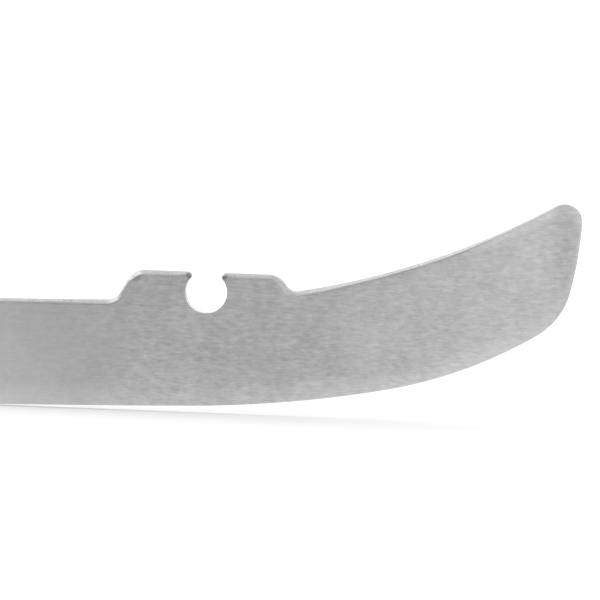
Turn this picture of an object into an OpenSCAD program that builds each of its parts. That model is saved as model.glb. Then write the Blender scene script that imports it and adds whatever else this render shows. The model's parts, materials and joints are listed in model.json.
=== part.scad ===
// Hockey skate runner: one stamped steel blade with two keyhole notches, and the clamp set of the rear notch.
// Millimetres. X points to the toe, Y goes through the thickness and Z points up.
// The origin is the axis of the front notch's bore, in the middle of the thickness.

/* [Blade] */
// Thickness of the steel
blade_t = 3; // [2.5:0.1:4]
// Height of the blade between the tabs
blade_h = 20.7; // [19:0.1:22]
// Radius of the rocker, the long curve that meets the ice
rocker_r = 2134; // [1800:1:3000]
// Distance between the axes of the two notches
notch_spacing = 167; // [150:1:190]
// Height of the notch axes over the lowest point of the rocker
axis_h = 24; // [23:0.1:26]

/* [Toe] */
// Distance from the notch axis to the start of the toe curve, ahead is positive
toe_start = -2.8; // [-8:0.1:4]
// Radius of the long toe curve
toe_curve_r = 238; // [200:1:280]
// Slope at which the long toe curve gives way to the short one
toe_curve_slope = 11.4; // [9:0.1:14]
// Radius of the short toe curve
toe_short_r = 89; // [75:0.5:110]
// Slope at which the short toe curve gives way to the nose
toe_short_slope = 32.2; // [28:0.1:36]
// Radius of the nose
toe_nose_r = 14.1; // [10:0.1:18]
// Slope at which the nose gives way to the front edge
toe_front_slope = 77.2; // [74:0.1:84]
// Radius of the gently curved front edge
toe_front_r = 76; // [50:1:120]
// Radius of the tip
toe_tip_r = 3.5; // [2:0.1:5]
// Distance from the notch axis to the start of the toe's top curve, ahead is positive
toe_top_start = -5; // [-8:0.5:0]
// Radius of the toe's top curve
toe_top_r = 156; // [140:1:180]

/* [Heel] */
// Distance from the notch axis to the start of the heel curve, behind is positive
heel_start = 3.5; // [-2:0.5:8]
// Radius of the long heel curve
heel_curve_r = 150; // [130:1:180]
// Slope at which the long heel curve gives way to the short one
heel_curve_slope = 12; // [10:0.1:14]
// Radius of the short heel curve
heel_short_r = 55; // [45:0.5:65]
// Slope at which the short heel curve gives way to the corner
heel_short_slope = 32; // [28:0.5:36]
// Radius of the heel's lower corner
heel_nose_r = 9; // [7:0.1:12]
// Slope at which the lower corner gives way to the back edge
heel_back_slope = 83; // [76:0.5:87]
// Radius of the gently curved back edge
heel_back_r = 60; // [45:1:100]
// Radius of the heel's upper corner
heel_tip_r = 4; // [2:0.1:5]
// Distance from the notch axis to the start of the heel's top curve, behind is positive
heel_top_start = 5; // [0:0.5:8]
// Radius of the heel's top curve
heel_top_r = 260; // [220:1:320]

/* [Tabs and notches] */
// Height of a tab's top over the notch axis
tab_top = 3.8; // [3.2:0.1:4.4]
// Reach of a tab from the notch axis towards the middle of the blade
tab_inner = 14.4; // [13:0.1:20]
// Reach of a tab from the notch axis towards the end of the blade
tab_outer = 14.3; // [13:0.1:20]
// Slope of a tab's inner flank
inner_flank = 60.5; // [50:0.5:70]
// Slope of a tab's outer flank
outer_flank = 57; // [45:0.5:62]
// Radius of a tab's inner corner
inner_corner_r = 3.7; // [1:0.1:5]
// Radius of a tab's outer corner
outer_corner_r = 5.2; // [1:0.1:6]
// Radius of the fillets at the foot of a tab
foot_r = 3; // [1:0.1:5]
// Diameter of a notch's bore
bore_d = 8.2; // [7:0.1:9]

/* [Clamp set] */
// Running clearance of the stud's round head in the bore, on the radius
head_clearance = 0.1; // [0.05:0.01:0.1]
// Depth of each flat of the stud's head below the blade's sides
head_setback = 0.1; // [0:0.05:0.3]
// Diameter of the stud's threaded shank
shank_d = 5; // [4:0.1:6]
// Height of the shank's end over the notch axis
shank_top = 22.5; // [20:0.5:30]
// Chamfer at the end of the shank
shank_chamfer = 0.6; // [0.2:0.1:1]
// Clearance of the shank in the notch's mouth, on each side
mouth_clearance = 0.55; // [0.4:0.05:0.7]
// Outside diameter of the washer
washer_d = 12; // [10:0.5:15]
// Thickness of the washer
washer_t = 1.2; // [0.8:0.1:2]
// Clearance of the washer round the shank, on the radius
washer_clearance = 0.15; // [0.1:0.01:0.3]
// Gap between the washer and what lies above and below it
washer_gap = 0.05; // [0.02:0.01:0.1]
// Clearance of the nut's thread round the shank, on the radius
thread_clearance = 0.05; // [0.02:0.01:0.1]
// Height of the nut's hexagon
hex_h = 3.6; // [3:0.1:5]
// Distance from the nut's round collar to each flat of the hexagon
hex_shoulder = 0.3; // [0.2:0.05:0.8]
// Height of the collar over the hexagon
collar_h = 1.6; // [1.4:0.1:2]
// Wall of the collar round the nylon ring
collar_wall = 0.4; // [0.3:0.05:0.6]
// Thickness of the rolled lip that holds the ring down
collar_lip = 0.3; // [0.2:0.05:0.4]
// Wall of the nylon ring
ring_wall = 0.75; // [0.6:0.05:1]

/* [Hidden] */
steel = "silver";
zinc = "lightsteelblue";
nylon = "ivory";
smooth = 96;
// Most that the straight steps of an arc in the outline lie inside the true arc
arc_sag = 0.01;
// Margin by which a cutting shape reaches past what it cuts
over = 1;
// Depth by which a lip's root reaches into the bore, so that the bore's cut ends it cleanly
root_depth = 0.02;
// Most of a flank's length that its two fillets take up, so that a short straight stays between them
fillet_room = 0.95;

half_spacing = notch_spacing / 2;
rear_x = -notch_spacing;
bore_r = bore_d / 2;
rocker_c = [0, rocker_r - axis_h];
mid_top_r = rocker_r - blade_h;
notch_c = [half_spacing, 0];

shank_r = shank_d / 2;
half_mouth = shank_r + mouth_clearance;
head_r = bore_r - head_clearance;
head_t = blade_t - 2 * head_setback;
thread_r = shank_r + thread_clearance;
washer_z = tab_top + washer_gap;
nut_z = washer_z + washer_t + washer_gap;
ring_r = thread_r + ring_wall;
ring_z = nut_z + hex_h;
ring_h = collar_h - collar_lip;
collar_r = ring_r + collar_wall;
collar_mouth_r = thread_r + ring_wall / 2;
hex_corner_r = (collar_r + hex_shoulder) / cos(30);

// Directions for a slope a, measured from the X axis
function along(a) = [cos(a), sin(a)];
function below(a) = [sin(a), -cos(a)];

function unit(v) = v / norm(v);

// Distance along direction d from point p at which the circle (c, r) is left
function cross_far(p, d, c, r) = let (o = p - c, b = o * d) -b + sqrt(b * b - o * o + r * r);

// Point where the circles (a, a_r) and (b, b_r) cross, on the right of the way from a to b
function circles_cross(a, a_r, b, b_r) =
    let (gap = norm(b - a), d = unit(b - a), run = (gap * gap + a_r * a_r - b_r * b_r) / (2 * gap))
    a + run * d + sqrt(a_r * a_r - run * run) * [d.y, -d.x];

// An outline is a list of [x, y, r]. The edge from each point to the next is straight where r is 0,
// an arc that bulges out where r is positive, and an arc that is hollow where r is negative.
function vertex(p, r) = [p.x, p.y, r];

// Radius of a lip that is tangent to the tab's top and to the bore and leaves the mouth's width free
function lip_radius() =
    let (s = tab_top + bore_r - half_mouth)
    s - sqrt(s * s - half_mouth * half_mouth - tab_top * tab_top + bore_r * bore_r);

// Share of a flank's two fillet radii that its length has room for, where they turn by the angles given
function fillet_share(flank_len, corner_r, corner_turn, foot_turn) =
    min(1, fillet_room * flank_len / (corner_r * tan(corner_turn / 2) + foot_r * tan(foot_turn / 2)));

// The notch's mouth, from its outer lip to its inner lip, down to the bore
function notch_points() =
    let (
        r = lip_radius(),
        lip_c = [half_mouth + r, tab_top - r],
        root = (bore_r - root_depth) * unit(lip_c)
    )
    [
        vertex(notch_c + [lip_c.x, tab_top], r),
        vertex(notch_c + root, 0),
        vertex(notch_c + [-root.x, root.y], r),
        vertex(notch_c + [-lip_c.x, tab_top], 0)
    ];

// A tab's outer side, from the end's top curve (c, r) up to the tab's top
function outer_side(c, r) =
    let (
        d = along(-outer_flank),
        out = -below(-outer_flank),
        corner = notch_c + [tab_outer, tab_top],
        flank_len = cross_far(corner, d, c, r),
        curve_slope = asin((corner + flank_len * d - c).x / r),
        share = fillet_share(flank_len, outer_corner_r, outer_flank, outer_flank + curve_slope),
        foot = share * foot_r,
        run = share * outer_corner_r * tan(outer_flank / 2),
        from = corner + foot * out,
        foot_c = from + cross_far(from, d, c, r - foot) * d
    )
    [
        vertex(c + r * unit(foot_c - c), -foot),
        vertex(foot_c - foot * out, 0),
        vertex(corner + run * d, share * outer_corner_r),
        vertex(corner - [run, 0], 0)
    ];

// A tab's inner side, from the tab's top down to the blade's top edge
function inner_side() =
    let (
        d = -along(inner_flank),
        out = -below(inner_flank),
        corner = notch_c + [-tab_inner, tab_top],
        flank_len = cross_far(corner, d, rocker_c, mid_top_r),
        share = fillet_share(flank_len, inner_corner_r, inner_flank, inner_flank),
        foot = share * foot_r,
        run = share * inner_corner_r * tan(inner_flank / 2),
        from = corner + foot * out,
        foot_c = from + cross_far(from, d, rocker_c, mid_top_r - foot) * d
    )
    [
        vertex(corner + [run, 0], share * inner_corner_r),
        vertex(corner + run * d, 0),
        vertex(foot_c - foot * out, -foot),
        vertex(rocker_c + mid_top_r * unit(foot_c - rocker_c), -mid_top_r)
    ];

// One end of the blade, from the end of the rocker round the tip to the middle's top edge.
// X is measured from the middle of the blade.
function end_points(start, curve_r, curve_slope, short_r, short_slope, nose_r, end_slope, end_r, tip_r,
                    top_start, top_r) =
    let (
        rocker_slope = asin((half_spacing + start) / rocker_r),
        curve_c = rocker_c + (rocker_r - curve_r) * below(rocker_slope),
        short_c = curve_c + (curve_r - short_r) * below(curve_slope),
        nose_c = short_c + (short_r - nose_r) * below(short_slope),
        end_c = nose_c + (nose_r - end_r) * below(end_slope),
        top_slope = asin((half_spacing + top_start) / mid_top_r),
        top_c = rocker_c + (mid_top_r - top_r) * below(top_slope),
        tip_c = circles_cross(end_c, end_r - tip_r, top_c, top_r + tip_r)
    )
    concat(
        [
            vertex(rocker_c + rocker_r * below(rocker_slope), curve_r),
            vertex(curve_c + curve_r * below(curve_slope), short_r),
            vertex(short_c + short_r * below(short_slope), nose_r),
            vertex(end_c + end_r * below(end_slope), end_r),
            vertex(end_c + end_r * unit(tip_c - end_c), tip_r),
            vertex(tip_c + tip_r * unit(top_c - tip_c), -top_r)
        ],
        outer_side(top_c, top_r),
        notch_points(),
        inner_side()
    );

// The same end on the other side of the middle, in the reverse order, with the rocker's arc as its last edge
function mirrored(points) =
    [for (i = [len(points) - 1:-1:0]) [-points[i].x, points[i].y, i > 0 ? points[i - 1][2] : rocker_r]];

// Points along the edge from p to q, without q: p alone where r is 0, or steps along an arc of radius r
function edge_points(p, q, r) =
    r == 0 ? [p] :
    let (
        half_chord = norm(q - p) / 2,
        dir = unit(q - p),
        out = sign(r) * [dir.y, -dir.x],
        size = abs(r),
        centre = (p + q) / 2 - out * sqrt(size * size - half_chord * half_chord),
        half_turn = asin(half_chord / size),
        steps = ceil(half_turn / acos(1 - arc_sag / size))
    )
    [for (i = [0:steps - 1])
        let (a = half_turn * (2 * i / steps - 1))
        centre + size * (cos(a) * out + sin(a) * dir)];

// All the points of an outline that runs anticlockwise
function outline_points(points) =
    let (count = len(points), corner = [for (v = points) [v.x, v.y]])
    [for (i = [0:count - 1]) each edge_points(corner[i], corner[(i + 1) % count], points[i][2])];

// The stamped blade, standing on its rocker
module runner() {
    toe = end_points(toe_start, toe_curve_r, toe_curve_slope, toe_short_r, toe_short_slope,
                     toe_nose_r, toe_front_slope, toe_front_r, toe_tip_r, toe_top_start, toe_top_r);
    heel = end_points(heel_start, heel_curve_r, heel_curve_slope, heel_short_r, heel_short_slope,
                      heel_nose_r, heel_back_slope, heel_back_r, heel_tip_r, heel_top_start, heel_top_r);
    color(steel)
        translate([-half_spacing, 0, 0])
            rotate([90, 0, 0])
                linear_extrude(blade_t, center = true)
                    difference() {
                        polygon(outline_points(concat(toe, mirrored(heel))));
                        for (side = [-1, 1])
                            translate([side * notch_c.x, notch_c.y])
                                circle(r = bore_r, $fn = smooth);
                    }
}

// The stud: its flat round head lies in the bore, and its shank stands up through the notch's mouth
module rear_stud() {
    color(zinc)
        translate([rear_x, 0, 0]) {
            rotate([90, 0, 0])
                cylinder(r = head_r, h = head_t, center = true, $fn = smooth);
            rotate_extrude($fn = smooth)
                polygon([
                    [0, 0],
                    [shank_r, 0],
                    [shank_r, shank_top - shank_chamfer],
                    [shank_r - shank_chamfer, shank_top],
                    [0, shank_top]
                ]);
        }
}

// A ring along Z from z = 0
module ring(outer_r, inner_r, h) {
    difference() {
        cylinder(r = outer_r, h = h, $fn = smooth);
        translate([0, 0, -over])
            cylinder(r = inner_r, h = h + 2 * over, $fn = smooth);
    }
}

// The washer that the nut carries, flat on the tab's top
module rear_washer() {
    color(zinc)
        translate([rear_x, 0, washer_z])
            ring(washer_d / 2, shank_r + washer_clearance, washer_t);
}

// The lock nut: a hexagon with a round collar that holds the nylon ring
module rear_lock_nut() {
    color(zinc)
        translate([rear_x, 0, nut_z])
            difference() {
                union() {
                    cylinder(r = hex_corner_r, h = hex_h, $fn = 6);
                    cylinder(r = collar_r, h = hex_h + collar_h, $fn = smooth);
                }
                translate([0, 0, -over])
                    cylinder(r = thread_r, h = hex_h + 2 * over, $fn = smooth);
                translate([0, 0, hex_h])
                    cylinder(r = ring_r, h = ring_h, $fn = smooth);
                translate([0, 0, hex_h])
                    cylinder(r = collar_mouth_r, h = collar_h + over, $fn = smooth);
            }
}

// The nylon ring, under the collar's rolled lip
module rear_lock_ring() {
    color(nylon)
        translate([rear_x, 0, ring_z])
            ring(ring_r, thread_r, ring_h);
}

runner();
rear_stud();
rear_washer();
rear_lock_nut();
rear_lock_ring();
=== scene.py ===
# Looks of the hockey skate runner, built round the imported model. Metres, in the model's own frame:
# X points to the toe, Y goes through the thickness and Z points up, from the axis of the front notch.
import bisect
import json
import math

import bmesh
import bpy
from mathutils import Matrix, Vector, geometry, noise


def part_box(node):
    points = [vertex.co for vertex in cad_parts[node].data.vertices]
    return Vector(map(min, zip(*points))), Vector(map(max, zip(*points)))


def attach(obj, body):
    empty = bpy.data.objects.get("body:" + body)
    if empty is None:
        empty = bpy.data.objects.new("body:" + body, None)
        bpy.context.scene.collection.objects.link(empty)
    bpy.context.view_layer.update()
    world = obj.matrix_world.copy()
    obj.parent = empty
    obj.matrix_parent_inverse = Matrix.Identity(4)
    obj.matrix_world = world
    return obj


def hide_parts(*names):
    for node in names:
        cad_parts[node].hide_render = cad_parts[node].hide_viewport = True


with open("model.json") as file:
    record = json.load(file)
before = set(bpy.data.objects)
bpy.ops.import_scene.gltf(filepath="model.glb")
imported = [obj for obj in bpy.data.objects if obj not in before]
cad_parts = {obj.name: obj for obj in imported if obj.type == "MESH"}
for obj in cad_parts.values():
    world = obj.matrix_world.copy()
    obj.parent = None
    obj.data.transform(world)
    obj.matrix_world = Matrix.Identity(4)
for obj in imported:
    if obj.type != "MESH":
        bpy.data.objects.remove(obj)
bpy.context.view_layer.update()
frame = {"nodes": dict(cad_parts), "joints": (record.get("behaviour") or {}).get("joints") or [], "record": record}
mm = 0.001

# Sizes taken from the frame
blade_low, blade_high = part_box("runner")
half_t = blade_high.y
front_mount = next(m for m in frame["record"]["mounts"] if m["name"] == "front_notch")
turn_joint = next(j for j in frame["joints"] if j["name"] == "nut_turn")
bore_r = front_mount["dims"]["r_mm"] * mm
rear_axis = Vector(turn_joint["pos_m"])
notch_axes = [Vector((0, 0, 0)), rear_axis]
notch_middle = rear_axis.x / 2
notch_clear = 2 * bore_r

# The blade's edges: inset is measured in the side's plane, depth through the thickness
outline_step = 0.6 * mm
crisp_break = 0.05 * mm
roll_inset = 0.55 * mm
roll_depth = 0.6 * mm
roll_wave = 0.18
roll_wave_length = 9 * mm
back_inset = 0.18 * mm
back_depth = 0.2 * mm
grind_depth = 0.08 * mm

# How far an edge has to face up to be rolled, and down to be ground: where that starts and where it is full
roll_from = 0.2
roll_full = 0.75
grind_from = 0.45
grind_full = 0.8

# The roll near a notch and on a tab, by the distance from the bore's wall or axis, and on the toe, by X
bore_margin = 0.05 * mm
lip_rise = 0.5 * mm
lip_room_start = 1.3 * mm
lip_room_end = 3.2 * mm
tab_reach = 31 * mm
tab_reach_fade = 9 * mm
tab_roll = 1.35
toe_roll = 0.35
toe_roll_start = 47 * mm
toe_roll_end = 63 * mm

# Sections of the rolled edge as (inset, depth) in shares of the roll: on a lip, elsewhere and on a tab
lip_curve = [
    (1.1, 0.0), (1.05, 0.02), (1.0, 0.05), (0.64, 0.15),
    (0.4, 0.38), (0.17, 0.63), (0.05, 0.83), (0.0, 1.0),
]
plain_curve = [
    (1.8, 0.0), (1.3, 0.01), (1.0, 0.035), (0.72, 0.15),
    (0.43, 0.38), (0.17, 0.63), (0.05, 0.83), (0.0, 1.0),
]
tab_curve = [
    (1.5, 0.0), (1.2, 0.008), (1.0, 0.03), (0.86, 0.1),
    (0.57, 0.34), (0.25, 0.63), (0.07, 0.84), (0.0, 1.0),
]
back_curve = [(0.0, 1.0), (0.35, 0.35), (1.0, 0.0)]
places_across = [-0.72, -0.4, 0.0, 0.4, 0.72]
rings_with_side_paint = 2
ground_paint_from = 0.5

# Tones of the side: (start, end, lift) along X in mm, and bands along the lower and the upper edge. Along X the
# side is lighter towards the heel's end, lighter towards the toe as painted light, and has a darker band near the
# toe's front edge with a painted highlight in front of it
side_tones_and_painted_light = [(-28, -38, 0.12), (22, 42, 0.14), (52, 63, 0.03), (66.8, 69.4, -0.18), (70.2, 72, 0.08)]
# The lower band is a painted highlight: the side is lighter towards its lower edge
low_highlight_band = 4.7 * mm
low_highlight_lift = 0.26
# The upper band: painted shade under the upper edge from X 24 to 31 mm on, and a painted highlight there from X 46
# to 56 mm on, towards the toe
top_painted_light_band = 3 * mm
top_band_painted_light = [(24, 31, -0.14), (46, 56, 0.42)]
edge_height_steps = 32

# The blade's middle has a fainter grain: half its length, where the full grain begins, and the strength there
calm_half = 56 * mm
calm_end = 72 * mm
calm_level = 0.4

# Painted shade on the notches' lips and just inside the tabs' inner corners, and the pits of the blanked edge
lip_low = 2 * mm
lip_shade_shift = 0.3 * mm
lip_shade_rise = 0.2 * mm
lip_shade_reach = 0.95 * mm
lip_shade_level = 0.5
corner_side = 0.5
corner_up = 0.87
corner_shade_inset = 1 * mm
corner_shade_reach = 1 * mm
corner_shade_level = 0.72
shade_core = 0.45
pit_from = 0.72
pit_full = 0.78
pit_level = 0.45

# The part of a noise's range that its colours and roughness are spread over
noise_low = 0.3
noise_high = 0.7

# The clamp set's small sizes, which the frame's boxes don't give
round_steps = 96
edge_break = 0.12 * mm
head_half = 1.4 * mm
shank_r = 2.5 * mm
shank_chamfer = 0.6 * mm
thread_pitch = 0.8 * mm
thread_depth = 0.43 * mm
thread_start = 4.4 * mm
thread_root = 0.06
thread_rows = 12
thread_r = 2.55 * mm
washer_hole_r = 2.65 * mm
washer_soft_break = 2 * edge_break
washer_soft_middle = 0.6 * edge_break
washer_crisp_break = 0.4 * edge_break
hex_h = 3.6 * mm
hex_chamfer_share = 0.96
hex_chamfer_angle = math.radians(30)
nut_countersink = 0.3 * mm
collar_r = 3.7 * mm
collar_mouth_r = 2.925 * mm
collar_mouth_break = 0.09 * mm
collar_roll = 0.3 * mm

# The shank's foot as (narrowing, height) in mm, and the collar's roll as (in, down) in shares of its size
shank_foot = [(1.2, 0.0), (0.72, 0.25), (0.3, 0.7), (0.06, 1.2), (0.0, 1.7)]
collar_curve = [(0, 1.4), (0.2, 0.6), (0.7, 0.1), (1.2, 0)]

# The camera stands almost square to the blade, a little ahead of the notch and above it
camera_azimuth = math.radians(3)
camera_elevation = math.radians(5)
camera_roll = math.radians(1.95)
camera_distance = 1.0
camera_sensor = 36
camera_clip = 0.01
picture_width = 117.6 * mm
picture_centre = Vector((18.49 * mm, -half_t, -0.77 * mm))

# The studio: white behind the object, darker up in front, over a white floor
white_level = 1.0
dark_level = 0.4
dark_side = Vector((0, -1, 0.36)).normalized()
white_until = 0.1
dark_from = 0.97
floor_half = 40
floor_grey = 0.8
floor_roughness = 0.9
floor_seen_near = 0.31
floor_seen_far = 0.7
floor_seen_reach = 0.5
# Reflections see a painted pool of light on the floor close to the blade, fading out over the reach below
floor_glow = 0.45
floor_glow_reach = 0.1

# Each lamp's place, the point it faces, its width and height, and its power in watts
lamps = {
    "key": (Vector((0.3, -0.5, 0.17)), Vector((0.3, 0, 0.1)), 0.5, 0.34, 0.7),
    "top": (Vector((-0.4, 0, 0.6)), Vector((0, 0, 0)), 0.5, 0.4, 0.9),
}


def smoothstep(low, high, value):
    share = min(max((value - low) / (high - low), 0), 1)
    return share * share * (3 - 2 * share)


def between(low, high, share):
    return low + (high - low) * share


def grey(level):
    return (level, level, level)


# Meshes


def filled(loop, first):
    """Triangles that fill a flat loop, whose points are numbered on from first."""
    spans = [max(p[k] for p in loop) - min(p[k] for p in loop) for k in range(3)]
    across = spans.index(min(spans))
    flat = [Vector([p[k] / mm for k in range(3) if k != across]) for p in loop]
    only_inside = 1
    snap = 1e-6
    result = geometry.delaunay_2d_cdt(flat, [], [list(range(len(flat)))], only_inside, snap)
    triangles, sources = result[2], result[3]
    return [tuple(first + sources[i][0] for i in triangle) for triangle in triangles]


def skin(name, loops, materials, wrap=False, slot_of=None, sharp_angle=30):
    """A mesh over closed loops of equal length: capped at both ends, or joined last to first."""
    count = len(loops[0])
    points = [p for loop in loops for p in loop]
    pairs = [(k, k + 1) for k in range(len(loops) - 1)]
    if wrap:
        pairs.append((len(loops) - 1, 0))
    faces = []
    slots = []
    for k, (a, b) in enumerate(pairs):
        for i in range(count):
            j = (i + 1) % count
            faces.append((a * count + i, a * count + j, b * count + j, b * count + i))
            slots.append(slot_of(k, i) if slot_of else 0)
    caps = []
    if not wrap:
        caps = filled(loops[0], 0) + filled(loops[-1], len(points) - count)
        faces += caps
        slots += [0] * len(caps)
    mesh = bpy.data.meshes.new(name)
    mesh.from_pydata(points, [], faces)
    for material in materials:
        mesh.materials.append(material)
    mesh.polygons.foreach_set("material_index", slots)
    facing_out = bmesh.new()
    facing_out.from_mesh(mesh)
    bmesh.ops.recalc_face_normals(facing_out, faces=facing_out.faces)
    facing_out.to_mesh(mesh)
    facing_out.free()
    mesh.shade_smooth()
    mesh.set_sharp_from_angle(angle=math.radians(sharp_angle))
    for polygon in mesh.polygons[len(faces) - len(caps):]:
        polygon.use_smooth = False
    piece = bpy.data.objects.new(name, mesh)
    bpy.context.scene.collection.objects.link(piece)
    return piece


def stand_for(piece, node, body):
    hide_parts(node)
    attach(piece, body)


def ring_loop(centre, radius, height):
    """A circle round the Z axis through centre. Radius and height may be functions of the angle."""
    loop = []
    for i in range(round_steps):
        angle = 2 * math.pi * i / round_steps
        r = radius(angle) if callable(radius) else radius
        z = height(angle) if callable(height) else height
        loop.append((centre.x + r * math.cos(angle), centre.y + r * math.sin(angle), z))
    return loop


# The blade's outline


def side_outline(node, y):
    """Corner points (x, z) round a node's flat side at y, anticlockwise seen from the front."""
    mesh = frame["nodes"][node].data
    grid = 1e-7
    flat = 1e-6
    place = {}
    steps = set()
    for polygon in mesh.polygons:
        corners = [mesh.vertices[i].co for i in polygon.vertices]
        if max(abs(c.y - y) for c in corners) > flat:
            continue
        keys = [(round(c.x / grid), round(c.z / grid)) for c in corners]
        for key, corner in zip(keys, corners):
            place[key] = Vector((corner.x, corner.z))
        steps.update(zip(keys, keys[1:] + keys[:1]))
    following = {a: b for a, b in steps if (b, a) not in steps}
    start = min(following)
    loop = [start]
    while following[loop[-1]] != start:
        loop.append(following[loop[-1]])
    return [place[key] for key in loop]


def corner_tangents(chords):
    """Directions of the curve at the corners. Beside a much longer chord it follows that chord."""
    much_longer = 3
    tangents = []
    for i, after in enumerate(chords):
        before = chords[i - 1]
        if before.length > much_longer * after.length:
            tangent = before
        elif after.length > much_longer * before.length:
            tangent = after
        else:
            tangent = before.normalized() * after.length + after.normalized() * before.length
        tangents.append(tangent.normalized())
    return tangents


def smooth_outline(corners, step):
    """Points and outward directions along a smooth curve through the corners, by cubic Hermite pieces."""
    count = len(corners)
    chords = [corners[(i + 1) % count] - corners[i] for i in range(count)]
    tangents = corner_tangents(chords)
    points = []
    outward = []
    for i in range(count):
        p, q = corners[i], corners[(i + 1) % count]
        size = chords[i].length
        m, n = tangents[i] * size, tangents[(i + 1) % count] * size
        parts = max(2, math.ceil(size / step))
        for k in range(parts):
            t = k / parts
            point = (
                (2 * t**3 - 3 * t**2 + 1) * p
                + (t**3 - 2 * t**2 + t) * m
                + (3 * t**2 - 2 * t**3) * q
                + (t**3 - t**2) * n
            )
            way = (
                (6 * t**2 - 6 * t) * p
                + (3 * t**2 - 4 * t + 1) * m
                + (6 * t - 6 * t**2) * q
                + (3 * t**2 - 2 * t) * n
            ).normalized()
            points.append(point)
            outward.append(Vector((way.y, -way.x)))
    return points, outward


def notch_distance(point):
    return min((point - Vector((axis.x, axis.z))).length for axis in notch_axes)


def edge_sizes(points, outward):
    """For each point: the shares of the rolled edge, of its gentle start, of a tab's wide roll and of the
    ground hollow, and whether the point is on a bore's wall."""
    sizes = []
    for point, out in zip(points, outward):
        distance = notch_distance(point)
        away = distance - bore_r
        in_bore = away < bore_margin
        gentle = smoothstep(lip_room_start, lip_room_end, away)
        on_tab = smoothstep(tab_reach, tab_reach - tab_reach_fade, distance)
        rolled = 0
        ground = 0
        if not in_bore:
            rolled = smoothstep(bore_margin, lip_rise, away) * smoothstep(roll_from, roll_full, out.y)
            rolled *= between(1, toe_roll, smoothstep(toe_roll_start, toe_roll_end, point.x))
            ground = smoothstep(grind_from, grind_full, -out.y)
        sizes.append((rolled, gentle, on_tab, ground, in_bore))
    return sizes


def blade_loops(points, outward, sizes):
    """The loops that the blade's skin runs over, from its front side to its back side."""
    loops = [[] for _ in plain_curve + places_across + back_curve]
    for point, out, (rolled, gentle, on_tab, ground, _) in zip(points, outward, sizes):
        wave = 1 + roll_wave * noise.noise(Vector((point.x, point.y, 0)) / roll_wave_length)
        wave *= between(1, tab_roll, on_tab * gentle)
        front_inset = between(crisp_break, roll_inset * wave, rolled)
        front_depth = between(crisp_break, roll_depth * wave, rolled)
        rear_inset = between(crisp_break, back_inset, rolled)
        rear_depth = between(crisp_break, back_depth, rolled)
        section = []
        for lip, plain, tab in zip(lip_curve, plain_curve, tab_curve):
            inset, depth = (between(a, b, on_tab) for a, b in zip(plain, tab))
            inset = between(lip[0], inset, gentle)
            depth = between(lip[1], depth, gentle)
            section.append((front_inset * inset, -half_t + front_depth * depth))
        low, high = -half_t + front_depth, half_t - rear_depth
        for place in places_across:
            hollow = grind_depth * ground * (1 - place * place)
            section.append((hollow, between(low, high, (place + 1) / 2)))
        for inset, depth in back_curve:
            section.append((rear_inset * inset, half_t - rear_depth * depth))
        for loop, (inset, y) in zip(loops, section):
            loop.append((point.x - out.x * inset, y, point.y - out.y * inset))
    return loops


def edge_heights(points, outward, side):
    """The lower edge, for side -1, or the upper one, for side 1, as heights at places along the blade.
    The places are closer together at its ends. Both run from 0 to 1 over the blade's box."""
    size = blade_high - blade_low
    edge = sorted(
        (p.x, p.y) for p, out in zip(points, outward)
        if out.y * side > 0 and notch_distance(p) > notch_clear
    )
    places = [x for x, _ in edge]
    heights = []
    for k in range(edge_height_steps + 1):
        share = (1 - math.cos(math.pi * k / edge_height_steps)) / 2
        x = between(blade_low.x, blade_high.x, share)
        i = min(max(bisect.bisect_left(places, x), 1), len(edge) - 1)
        (x_before, z_before), (x_after, z_after) = edge[i - 1], edge[i]
        step_share = min(max((x - x_before) / (x_after - x_before), 0), 1)
        z = between(z_before, z_after, step_share)
        heights.append((share, (z - blade_low.z) / size.z))
    return heights


def lip_shade_spots(points):
    """Points on the front side where the lips get painted shade, just inside each lip's innermost point."""
    spots = []
    for axis in notch_axes:
        for side in (-1, 1):
            mouth = [p for p in points if p.y > lip_low and 0 < (p.x - axis.x) * side < notch_clear]
            tip = min(mouth, key=lambda p: abs(p.x - axis.x))
            spots.append((tip.x + side * lip_shade_shift, -half_t, tip.y + lip_shade_rise))
    return spots


def corner_shade_spots(points, outward):
    """Points on the front side just inside each tab's inner corner, where the steel gets painted shade."""
    spots = []
    for axis in notch_axes:
        inward = 1 if axis.x < notch_middle else -1
        facing = Vector((corner_side * inward, corner_up))
        near_top = [
            (p, out) for p, out in zip(points, outward)
            if p.y > lip_low and abs(p.x - axis.x) < tab_reach
        ]
        point, out = max(near_top, key=lambda pair: pair[1].dot(facing))
        inside = point - out * corner_shade_inset
        spots.append((inside.x, -half_t, inside.y))
    return spots


# Materials


def set_range(node, from_low, from_high, low, high):
    node.inputs["From Min"].default_value = from_low
    node.inputs["From Max"].default_value = from_high
    node.inputs["To Min"].default_value = low
    node.inputs["To Max"].default_value = high


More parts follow.
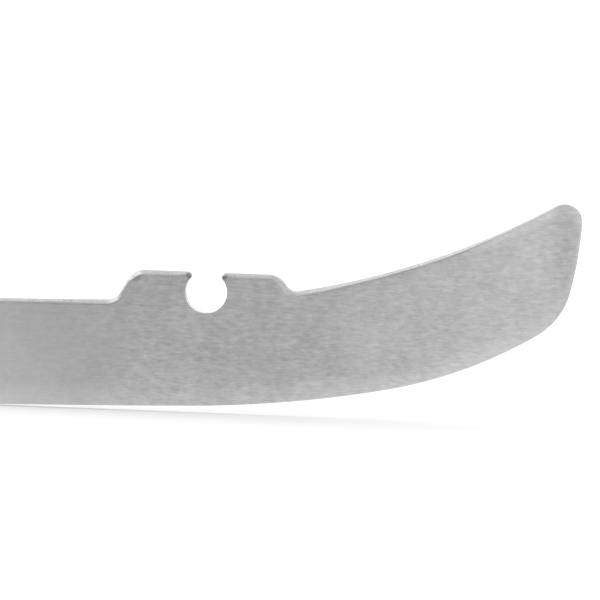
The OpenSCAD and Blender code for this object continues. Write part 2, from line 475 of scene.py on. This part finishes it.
class Paint:
    """A material with its node tree and a few short ways to add nodes."""

    def __init__(self, name):
        self.material = bpy.data.materials.new(name)
        self.material.use_nodes = True
        self.tree = self.material.node_tree
        self.shader = self.tree.nodes["Principled BSDF"]
        self.place = self.tree.nodes.new("ShaderNodeTexCoord").outputs["Object"]

    def set(self, **values):
        for name, value in values.items():
            self.shader.inputs[name.replace("_", " ")].default_value = value

    def link(self, source, name):
        self.tree.links.new(source, self.shader.inputs[name])

    def noise(self, scale, detail=3, roughness=0.5, distortion=0):
        """Noise whose grain is set by a scale along X, Y and Z, in cycles per metre."""
        mapping = self.tree.nodes.new("ShaderNodeMapping")
        mapping.inputs["Scale"].default_value = scale
        node = self.tree.nodes.new("ShaderNodeTexNoise")
        node.inputs["Scale"].default_value = 1
        node.inputs["Detail"].default_value = detail
        node.inputs["Roughness"].default_value = roughness
        node.inputs["Distortion"].default_value = distortion
        self.tree.links.new(self.place, mapping.inputs["Vector"])
        self.tree.links.new(mapping.outputs["Vector"], node.inputs["Vector"])
        return node.outputs["Fac"]

    def spread(self, source, from_low, from_high, low, high):
        """A value brought from one range to another, and held at its ends."""
        node = self.tree.nodes.new("ShaderNodeMapRange")
        set_range(node, from_low, from_high, low, high)
        self.tree.links.new(source, node.inputs["Value"])
        return node.outputs["Result"]

    def math(self, operation, a, b):
        node = self.tree.nodes.new("ShaderNodeMath")
        node.operation = operation
        for socket, value in zip(node.inputs, (a, b)):
            if isinstance(value, (int, float)):
                socket.default_value = value
            else:
                self.tree.links.new(value, socket)
        return node.outputs["Value"]

    def mixture(self, *parts):
        """Noises added up about zero, each with its weight."""
        noise_middle = 0.5
        total = 0
        for source, weight in parts:
            centred = self.math("SUBTRACT", source, noise_middle)
            total = self.math("ADD", self.math("MULTIPLY", centred, weight), total)
        return total

    def shades(self, factor, dark, light):
        node = self.tree.nodes.new("ShaderNodeMix")
        node.data_type = "RGBA"
        node.inputs["A"].default_value = (*dark, 1)
        node.inputs["B"].default_value = (*light, 1)
        self.tree.links.new(factor, node.inputs["Factor"])
        return node.outputs["Result"]

    def tint(self, source, dark, light):
        """A colour that follows a noise from dark to light."""
        return self.shades(self.spread(source, noise_low, noise_high, 0, 1), dark, light)

    def gloss(self, source, low, high):
        """A roughness that follows a noise from low to high."""
        self.link(self.spread(source, noise_low, noise_high, low, high), "Roughness")

    def bump(self, height, distance):
        node = self.tree.nodes.new("ShaderNodeBump")
        node.inputs["Strength"].default_value = 1
        node.inputs["Distance"].default_value = distance
        self.tree.links.new(height, node.inputs["Height"])
        self.link(node.outputs["Normal"], "Normal")

    def near(self, spots, reach):
        """How near the surface is to any of the spots: 1 in a spot's core, 0 from the reach on."""
        nearest = None
        for spot in spots:
            node = self.tree.nodes.new("ShaderNodeVectorMath")
            node.operation = "DISTANCE"
            node.inputs[1].default_value = spot
            self.tree.links.new(self.place, node.inputs[0])
            distance = node.outputs["Value"]
            nearest = distance if nearest is None else self.math("MINIMUM", nearest, distance)
        return self.spread(nearest, shade_core * reach, reach, 1, 0)

    def darken(self, colour, mask, level):
        """A colour that falls to the level given where the mask is 1."""
        node = self.tree.nodes.new("ShaderNodeMix")
        node.data_type = "RGBA"
        node.blend_type = "MULTIPLY"
        node.inputs["B"].default_value = (*grey(level), 1)
        self.tree.links.new(mask, node.inputs["Factor"])
        self.tree.links.new(colour, node.inputs["A"])
        return node.outputs["Result"]

    def curve(self, source, points):
        """A curve through the points given, which run from 0 to 1 both ways."""
        node = self.tree.nodes.new("ShaderNodeFloatCurve")
        marks = node.mapping.curves[0].points
        marks[0].location = points[0]
        marks[1].location = points[-1]
        for point in points[1:-1]:
            marks.new(*point)
        node.mapping.update()
        self.tree.links.new(source, node.inputs["Value"])
        return node.outputs["Value"]

    def along(self, axis):
        """The position along one axis of the model's frame, in metres."""
        node = self.tree.nodes.new("ShaderNodeSeparateXYZ")
        self.tree.links.new(self.place, node.inputs["Vector"])
        return node.outputs[axis]

    def height_at(self, heights):
        """The height of an edge of the blade over or under the surface, in metres."""
        share = self.spread(self.along("X"), blade_low.x, blade_high.x, 0, 1)
        return self.spread(self.curve(share, heights), 0, 1, blade_low.z, blade_high.z)

    def tone_along(self, start, end, lift):
        """A tone that grows from 0 to the lift between two places along X, given in mm."""
        return self.spread(self.along("X"), start * mm, end * mm, 0, lift)


def blade_side_paint(lips, corners, lower, upper):
    """Satin rolled steel: fine lengthwise grain, mottling and smudges, all fainter in the blade's middle. Painted
    light lies over it along X and along both edges, and painted shade on the lips and just inside the tabs' inner
    corners.
    """
    paint = Paint("blade_side")
    paint.set(Metallic=1)
    from_middle = paint.math("ABSOLUTE", paint.math("SUBTRACT", paint.along("X"), notch_middle), 0)
    strength = paint.spread(from_middle, calm_half, calm_end, calm_level, 1)
    grain = paint.noise((520, 520, 4200), detail=4, roughness=0.6, distortion=0.3)
    streaks = paint.noise((120, 120, 1500))
    mottle = paint.noise((560, 560, 900), detail=4, roughness=0.6)
    smudges = paint.noise((190, 190, 90))
    clouds = paint.noise((55, 55, 95), detail=2)
    tone = paint.mixture((grain, 0.85), (streaks, 0.2), (mottle, 0.7), (smudges, 0.32), (clouds, 0.2))
    middle_tone = 0.5
    tone = paint.math("ADD", paint.math("MULTIPLY", tone, strength), middle_tone)
    # Along X: painted light that lightens the toe, and a painted highlight in front of the dark band near the
    # toe's front edge
    for side_tone in side_tones_and_painted_light:
        tone = paint.math("ADD", tone, paint.tone_along(*side_tone))
    # Painted highlight along the lower edge
    over_edge = paint.math("SUBTRACT", paint.along("Z"), paint.height_at(lower))
    tone = paint.math("ADD", tone, paint.spread(over_edge, 0, low_highlight_band, low_highlight_lift, 0))
    # Painted shade and a painted highlight under the upper edge
    under_edge = paint.math("SUBTRACT", paint.height_at(upper), paint.along("Z"))
    in_band = paint.spread(under_edge, 0, top_painted_light_band, 1, 0)
    for band_tone in top_band_painted_light:
        change = paint.math("MULTIPLY", in_band, paint.tone_along(*band_tone))
        tone = paint.math("ADD", tone, change)
    steel = paint.shades(tone, dark=grey(0.28), light=grey(0.67))
    # Painted shade just inside the tabs' inner corners
    steel = paint.darken(steel, paint.near(corners, corner_shade_reach), corner_shade_level)
    # Painted shade on the lips
    steel = paint.darken(steel, paint.near(lips, lip_shade_reach), lip_shade_level)
    paint.link(steel, "Base Color")
    paint.gloss(grain, low=0.36, high=0.44)
    paint.bump(paint.mixture((grain, 1), (streaks, 0.5)), distance=0.004 * mm)
    return paint.material


def blade_edge_paint(lips):
    """Blanked edge: coarser and lighter than the sides, with faint lines through the thickness."""
    paint = Paint("blade_edge")
    paint.set(Metallic=1)
    lines = paint.noise((2400, 300, 2400))
    specks = paint.noise((1500, 1500, 1500))
    pits = paint.spread(paint.noise((1300, 1300, 1300), detail=1), pit_from, pit_full, 0, 1)
    steel = paint.tint(lines, dark=grey(0.55), light=grey(0.65))
    steel = paint.darken(steel, pits, pit_level)
    # The painted shade on the lips reaches over the edge too
    steel = paint.darken(steel, paint.near(lips, lip_shade_reach), lip_shade_level)
    paint.link(steel, "Base Color")
    paint.gloss(specks, low=0.4, high=0.55)
    paint.bump(paint.math("ADD", lines, specks), distance=0.004 * mm)
    return paint.material


def blade_bore_paint():
    """Bore wall, cut smooth."""
    paint = Paint("blade_bore")
    paint.set(Metallic=1)
    lines = paint.noise((2000, 200, 2000))
    paint.link(paint.tint(lines, dark=grey(0.76), light=grey(0.86)), "Base Color")
    paint.gloss(lines, low=0.2, high=0.3)
    paint.bump(lines, distance=0.003 * mm)
    return paint.material


def blade_ground_paint():
    """Ground running edge, with fine lengthwise wheel marks."""
    paint = Paint("blade_ground")
    paint.set(Metallic=1)
    marks = paint.noise((120, 5200, 120))
    paint.link(paint.tint(marks, dark=(0.42, 0.42, 0.43), light=(0.56, 0.56, 0.57)), "Base Color")
    paint.gloss(marks, low=0.22, high=0.34)
    paint.bump(marks, distance=0.004 * mm)
    return paint.material


def zinc_paint():
    """Bright zinc plating, a little cloudy."""
    paint = Paint("zinc_plate")
    paint.set(Metallic=1)
    cloud = paint.noise((500, 500, 500), detail=5, roughness=0.6)
    specks = paint.noise((4200, 4200, 4200), detail=2)
    paint.link(paint.tint(cloud, dark=(0.4, 0.42, 0.45), light=(0.58, 0.59, 0.61)), "Base Color")
    paint.gloss(cloud, low=0.22, high=0.36)
    paint.bump(specks, distance=0.006 * mm)
    return paint.material


def nylon_paint():
    """Natural nylon: off white, slightly see-through, faintly grained."""
    paint = Paint("nylon")
    paint.set(Subsurface_Weight=0.25, Subsurface_Scale=0.6 * mm)
    cloud = paint.noise((800, 800, 800), detail=4)
    specks = paint.noise((5000, 5000, 5000), detail=2)
    paint.link(paint.tint(cloud, dark=(0.74, 0.71, 0.62), light=(0.86, 0.84, 0.77)), "Base Color")
    paint.gloss(specks, low=0.4, high=0.55)
    paint.bump(specks, distance=0.008 * mm)
    return paint.material


zinc = zinc_paint()
nylon = nylon_paint()


# The blade


def build_blade():
    points, outward = smooth_outline(side_outline("runner", -half_t), outline_step)
    sizes = edge_sizes(points, outward)
    lips = lip_shade_spots(points)
    corners = corner_shade_spots(points, outward)
    lower = edge_heights(points, outward, -1)
    upper = edge_heights(points, outward, 1)
    side = blade_side_paint(lips, corners, lower, upper)
    materials = [side, blade_edge_paint(lips), blade_bore_paint(), blade_ground_paint()]
    side_slot, edge_slot, bore_slot, ground_slot = range(len(materials))

    def slot_of(k, i):
        *_, ground, in_bore = sizes[i]
        if k < rings_with_side_paint:
            return side_slot
        if in_bore:
            return bore_slot
        return ground_slot if ground > ground_paint_from else edge_slot

    piece = skin("runner_blade", blade_loops(points, outward, sizes), materials, slot_of=slot_of)
    stand_for(piece, "runner", "blade")


# The clamp set


def build_stud():
    low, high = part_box("rear_stud")
    head_r = rear_axis.x - low.x
    head_profile = [
        (head_r - edge_break, -head_half),
        (head_r, -head_half + edge_break),
        (head_r, head_half - edge_break),
        (head_r - edge_break, head_half),
    ]
    head = []
    for r, y in head_profile:
        loop = ring_loop(Vector((0, 0, 0)), r, y)
        head.append([(rear_axis.x + a, c, b) for a, b, c in loop])
    shank = [ring_loop(rear_axis, shank_r - narrowing * mm, z * mm) for narrowing, z in shank_foot]
    rows = math.ceil((high.z - thread_start) / thread_pitch * thread_rows)
    for row in range(rows + 1):
        z = between(thread_start, high.z, row / rows)
        limit = min(shank_r, shank_r - shank_chamfer + high.z - z)
        fade = smoothstep(0, thread_pitch, z - thread_start)

        def thread(angle, z=z, limit=limit, fade=fade):
            turn = (z / thread_pitch - angle / (2 * math.pi)) % 1
            from_root = 0.5 - abs(turn - 0.5)
            ridge = smoothstep(thread_root, 0.5, from_root + thread_root)
            return min(limit, shank_r - thread_depth * fade * (1 - ridge))

        shank.append(ring_loop(rear_axis, thread, z))
    head_piece = skin("rear_stud_head", head, [zinc])
    shank_piece = skin("rear_stud_shank", shank, [zinc], sharp_angle=50)
    stand_for(head_piece, "rear_stud", "stud")
    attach(shank_piece, "stud")


def build_washer():
    low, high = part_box("rear_washer")
    outer = high.x - rear_axis.x
    profile = [
        (washer_hole_r, low.z + edge_break),
        (washer_hole_r, high.z - washer_soft_break),
        (washer_hole_r + washer_soft_break, high.z),
        (outer - washer_soft_break, high.z),
        (outer - washer_soft_middle, high.z - washer_soft_middle),
        (outer, high.z - washer_soft_break),
        (outer, low.z + washer_crisp_break),
        (outer - washer_crisp_break, low.z),
        (washer_hole_r + edge_break, low.z),
    ]
    loops = [ring_loop(rear_axis, r, z) for r, z in profile]
    piece = skin("rear_washer_disc", loops, [zinc], wrap=True)
    stand_for(piece, "rear_washer", "washer")


def build_nut():
    low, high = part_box("rear_lock_nut")
    half_flats = high.y
    chamfer_r = hex_chamfer_share * half_flats
    chamfer_slope = math.tan(hex_chamfer_angle)
    hex_top = low.z + hex_h

    def hexagon(angle):
        sixth = math.pi / 3
        return half_flats / math.cos((angle % sixth) - sixth / 2)

    def lower_edge(angle):
        return low.z + (hexagon(angle) - chamfer_r) * chamfer_slope

    def upper_edge(angle):
        return hex_top - (hexagon(angle) - chamfer_r) * chamfer_slope

    profile = [
        (thread_r, hex_top),
        (thread_r, low.z + nut_countersink),
        (thread_r + nut_countersink, low.z),
        (chamfer_r, low.z),
        (hexagon, lower_edge),
        (hexagon, upper_edge),
        (chamfer_r, hex_top),
        (collar_r, hex_top),
    ]
    profile += [(collar_r - a * collar_roll, high.z - b * collar_roll) for a, b in collar_curve]
    profile += [
        (collar_mouth_r + collar_mouth_break, high.z),
        (collar_mouth_r, high.z - collar_mouth_break),
        (collar_mouth_r, hex_top),
    ]
    loops = [ring_loop(rear_axis, r, z) for r, z in profile]
    piece = skin("rear_lock_nut_body", loops, [zinc], wrap=True)
    stand_for(piece, "rear_lock_nut", "nut")


def build_ring():
    low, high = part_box("rear_lock_ring")
    outer = collar_mouth_r
    profile = [
        (thread_r, low.z),
        (thread_r, high.z - edge_break),
        (thread_r + edge_break, high.z),
        (outer - edge_break, high.z),
        (outer, high.z - edge_break),
        (outer, low.z),
    ]
    loops = [ring_loop(rear_axis, r, z) for r, z in profile]
    piece = skin("rear_lock_ring_band", loops, [nylon], wrap=True)
    stand_for(piece, "rear_lock_ring", "nut")


build_blade()
build_stud()
build_washer()
build_nut()
build_ring()


# The studio


def build_floor():
    """A white floor that keeps the shadow. It is lifted towards white for the camera, and for reflections it
    carries a painted pool of light close to the blade.
    """
    paint = Paint("floor")
    mesh = bpy.data.meshes.new("floor")
    corners = [(-1, -1), (1, -1), (1, 1), (-1, 1)]
    points = [(x * floor_half, y * floor_half, blade_low.z) for x, y in corners]
    mesh.from_pydata(points, [], [tuple(range(len(points)))])
    mesh.materials.append(paint.material)
    floor = bpy.data.objects.new("floor", mesh)
    bpy.context.scene.collection.objects.link(floor)
    rays = paint.tree.nodes.new("ShaderNodeLightPath").outputs
    middle = (blade_low.x + blade_high.x) / 2
    from_middle = paint.math("ABSOLUTE", paint.math("SUBTRACT", paint.along("X"), middle), 0)
    past_ends = paint.math("SUBTRACT", from_middle, blade_high.x - middle)
    aside = paint.math("MAXIMUM", paint.math("ABSOLUTE", paint.along("Y"), 0), past_ends)
    # Painted pool of light close to the blade, seen in reflections only
    glow = paint.spread(aside, 0, floor_glow_reach, floor_glow, 0)
    white = paint.spread(aside, 0, floor_seen_reach, floor_seen_near, floor_seen_far)
    mirrored = paint.math("MAXIMUM", rays["Is Glossy Ray"], rays["Is Transmission Ray"])
    seen_lift = paint.math("MULTIPLY", rays["Is Camera Ray"], white)
    mirrored_lift = paint.math("MULTIPLY", mirrored, glow)
    paint.set(Base_Color=(*grey(floor_grey), 1), Roughness=floor_roughness)
    paint.set(Specular_IOR_Level=0, Emission_Color=(1, 1, 1, 1))
    paint.link(paint.math("MAXIMUM", seen_lift, mirrored_lift), "Emission Strength")


def build_world():
    """A white world that is darker up in front of the object."""
    world = bpy.data.worlds.new("studio")
    bpy.context.scene.world = world
    world.use_nodes = True
    tree = world.node_tree
    background = tree.nodes["Background"]
    place = tree.nodes.new("ShaderNodeTexCoord")
    towards = tree.nodes.new("ShaderNodeVectorMath")
    towards.operation = "DOT_PRODUCT"
    towards.inputs[1].default_value = dark_side
    level = tree.nodes.new("ShaderNodeMapRange")
    set_range(level, white_until, dark_from, white_level, dark_level)
    tree.links.new(place.outputs["Generated"], towards.inputs[0])
    tree.links.new(towards.outputs["Value"], level.inputs["Value"])
    tree.links.new(level.outputs["Result"], background.inputs["Strength"])
    background.inputs["Color"].default_value = (1, 1, 1, 1)


def build_lamp(name, place, target, width, height, power):
    light = bpy.data.lights.new(name, "AREA")
    light.shape = "RECTANGLE"
    light.size = width
    light.size_y = height
    light.energy = power
    lamp = bpy.data.objects.new(name, light)
    lamp.location = place
    lamp.rotation_mode = "QUATERNION"
    lamp.rotation_quaternion = (target - lamp.location).to_track_quat("-Z", "Y")
    bpy.context.scene.collection.objects.link(lamp)


def build_camera():
    """The camera, turned about its own axis by the picture's roll."""
    back = Vector((
        math.sin(camera_azimuth) * math.cos(camera_elevation),
        -math.cos(camera_azimuth) * math.cos(camera_elevation),
        math.sin(camera_elevation),
    ))
    level_right = Vector((math.cos(camera_azimuth), math.sin(camera_azimuth), 0))
    level_up = back.cross(level_right)
    right = math.cos(camera_roll) * level_right + math.sin(camera_roll) * level_up
    up = back.cross(right)
    data = bpy.data.cameras.new("camera")
    data.sensor_width = camera_sensor
    data.lens = camera_sensor * camera_distance / picture_width
    data.clip_start = camera_clip
    camera = bpy.data.objects.new("camera", data)
    turn = Matrix((right, up, back)).transposed()
    camera.matrix_world = Matrix.Translation(picture_centre + back * camera_distance) @ turn.to_4x4()
    bpy.context.scene.collection.objects.link(camera)
    bpy.context.scene.camera = camera


build_floor()
build_world()
for lamp_name, lamp_settings in lamps.items():
    build_lamp(lamp_name, *lamp_settings)
build_camera()
bpy.context.scene.view_settings.view_transform = "Standard"
